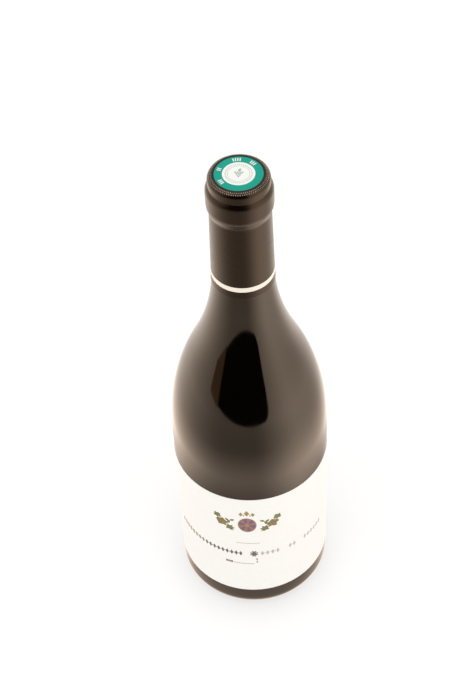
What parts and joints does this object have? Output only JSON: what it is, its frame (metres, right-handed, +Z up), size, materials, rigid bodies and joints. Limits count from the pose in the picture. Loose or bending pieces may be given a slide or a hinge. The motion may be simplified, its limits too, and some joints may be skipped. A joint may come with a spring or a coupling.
{
  "type": "wine bottle",
  "caption": "Sealed full bottle with sloping shoulders, a long neck in a foil capsule, a wrapped paper label and a hollow in its base.",
  "frame": {"origin": "middle of the bearing ring that the bottle stands on", "axes": "+Z up along the bottle's axis; the middle of the label faces -Y"},
  "size_m": [0.0828, 0.0827, 0.2983],
  "materials": {
    "dark_glass": "gloss",
    "capsule_foil": "satin",
    "disc_print": "satin",
    "label_paper": "matte",
    "capsule_line": "satin",
    "disc_marks": "satin",
    "label_print": "matte"
  },
  "bodies": {
    "root": {"bottle": "dark_glass", "capsule": "capsule_foil", "capsule_disc": "disc_print", "label": "label_paper"}
  },
  "joints": []
}
